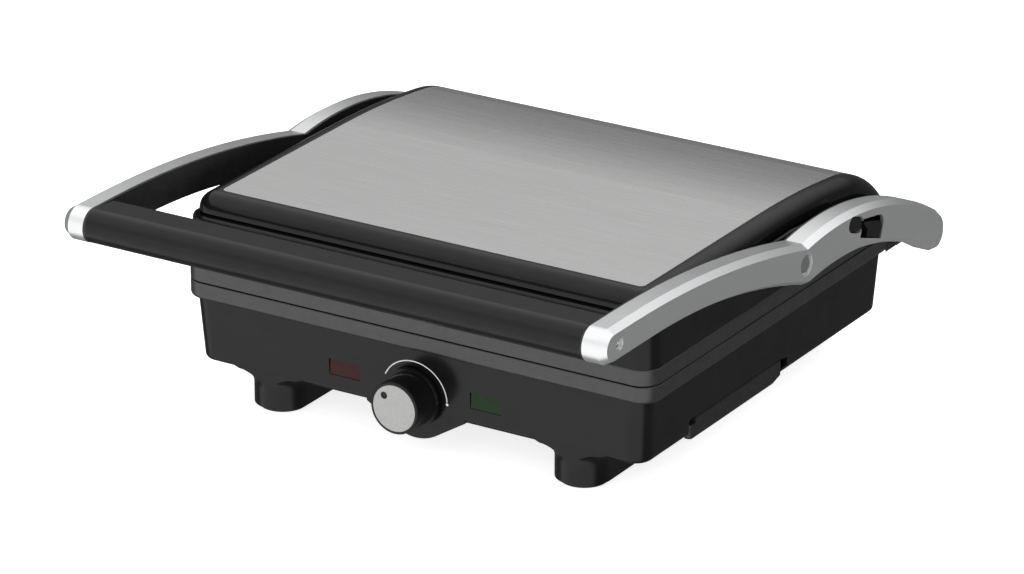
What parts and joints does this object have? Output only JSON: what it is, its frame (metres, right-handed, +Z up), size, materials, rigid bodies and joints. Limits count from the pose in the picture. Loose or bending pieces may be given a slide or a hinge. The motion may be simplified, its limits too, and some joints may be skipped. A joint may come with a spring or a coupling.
{
  "type": "panini press",
  "caption": "Closed contact grill: black housing, brushed-steel lid cover on swinging silver arms with a black grip, control dial, pilot lamps and a side drip tray.",
  "frame": {"origin": "on the table, under the middle of the object's overall box", "axes": "+X to the object's right seen from its front, +Y from the grip towards the hinge, +Z up"},
  "size_m": [0.367, 0.4065, 0.1452],
  "materials": {
    "gloss_black": "polished moulded",
    "satin_grey": "satin moulded",
    "soft_black": "fine-grained moulded",
    "silver_paint": "satin metallic",
    "brushed_steel": "brushed from side to side",
    "nonstick": "non-stick coated casting",
    "element_steel": "heat-darkened tube",
    "reflector_sheet": "aluminised sheet",
    "screw_steel": "nickel plated",
    "dial_metal": "satin disc",
    "pad_rubber": "matt",
    "red_lens": "translucent red",
    "green_lens": "translucent green",
    "lamp_glass": "clear tube",
    "ceramic_white": "unglazed"
  },
  "bodies": {
    "base": {"base_tub": "gloss_black", "dial_apron": "gloss_black", "tray_housing": "soft_black", "base_legs": "gloss_black", "foot_pads": "pad_rubber", "base_rim": "satin_grey", "base_screws": "screw_steel", "lower_grill_plate": "nonstick", "lower_heating_element": "element_steel", "lower_reflector": "reflector_sheet", "reflector_posts": "screw_steel", "grease_chute": "reflector_sheet", "thermostat": "ceramic_white", "power_lamp_lens": "red_lens", "ready_lamp_lens": "green_lens", "lamp_tubes": "lamp_glass", "terminal_block": "ceramic_white", "power_inlet": "soft_black", "tray_rails": "soft_black", "hinge_bracket_right": "soft_black", "hinge_bracket_left": "soft_black", "hinge_pins": "screw_steel"},
    "arms": {"arm_right": "silver_paint", "arm_left": "silver_paint", "arm_liner_right": "soft_black", "arm_liner_left": "soft_black", "lever_pin": "screw_steel", "grip_bar": "gloss_black", "float_screws": "screw_steel", "grip_screws": "screw_steel"},
    "lid": {"lid_rim": "satin_grey", "lid_lower_shell": "gloss_black", "lid_top_shell": "gloss_black", "lid_steel_cover": "brushed_steel", "lid_pivot_bushes": "soft_black", "upper_grill_plate": "nonstick", "upper_heating_element": "element_steel", "upper_reflector": "reflector_sheet", "plate_screws": "screw_steel"},
    "dial": {"knob": "gloss_black", "knob_face": "dial_metal", "thermostat_shaft": "screw_steel"},
    "tray": {"drip_tray": "soft_black"},
    "lever": {"release_lever": "gloss_black"}
  },
  "joints": [
    {"name": "arm_hinge", "type": "hinge", "parent": "base", "child": "arms", "pos_m": [0, 0.182, 0.0832], "axis": [-1, 0, 0], "range_deg": [0, 182]},
    {"name": "lid_tilt", "type": "hinge", "parent": "arms", "child": "lid", "pos_m": [0, 0.0272, 0.1088], "axis": [-1, 0, 0], "range_deg": [-4, 0]},
    {"name": "dial_turn", "type": "hinge", "parent": "base", "child": "dial", "pos_m": [0, -0.12, 0.0347], "axis": [0, 1, 0], "range_deg": [-20, 135]},
    {"name": "tray_slide", "type": "slide", "parent": "base", "child": "tray", "axis": [1, 0, 0], "range_m": [0, 0.15]},
    {"name": "release_lever_swing", "type": "hinge", "parent": "arms", "child": "lever", "pos_m": [0.175, 0.08724, 0.11366], "axis": [1, 0, 0], "range_deg": [0, 4.5], "stiffness_Nm_per_rad": 0.4}
  ],
  "couplings": [
    {"joint": "lid_tilt", "follows": "arm_hinge", "ratio": -0.0175}
  ]
}
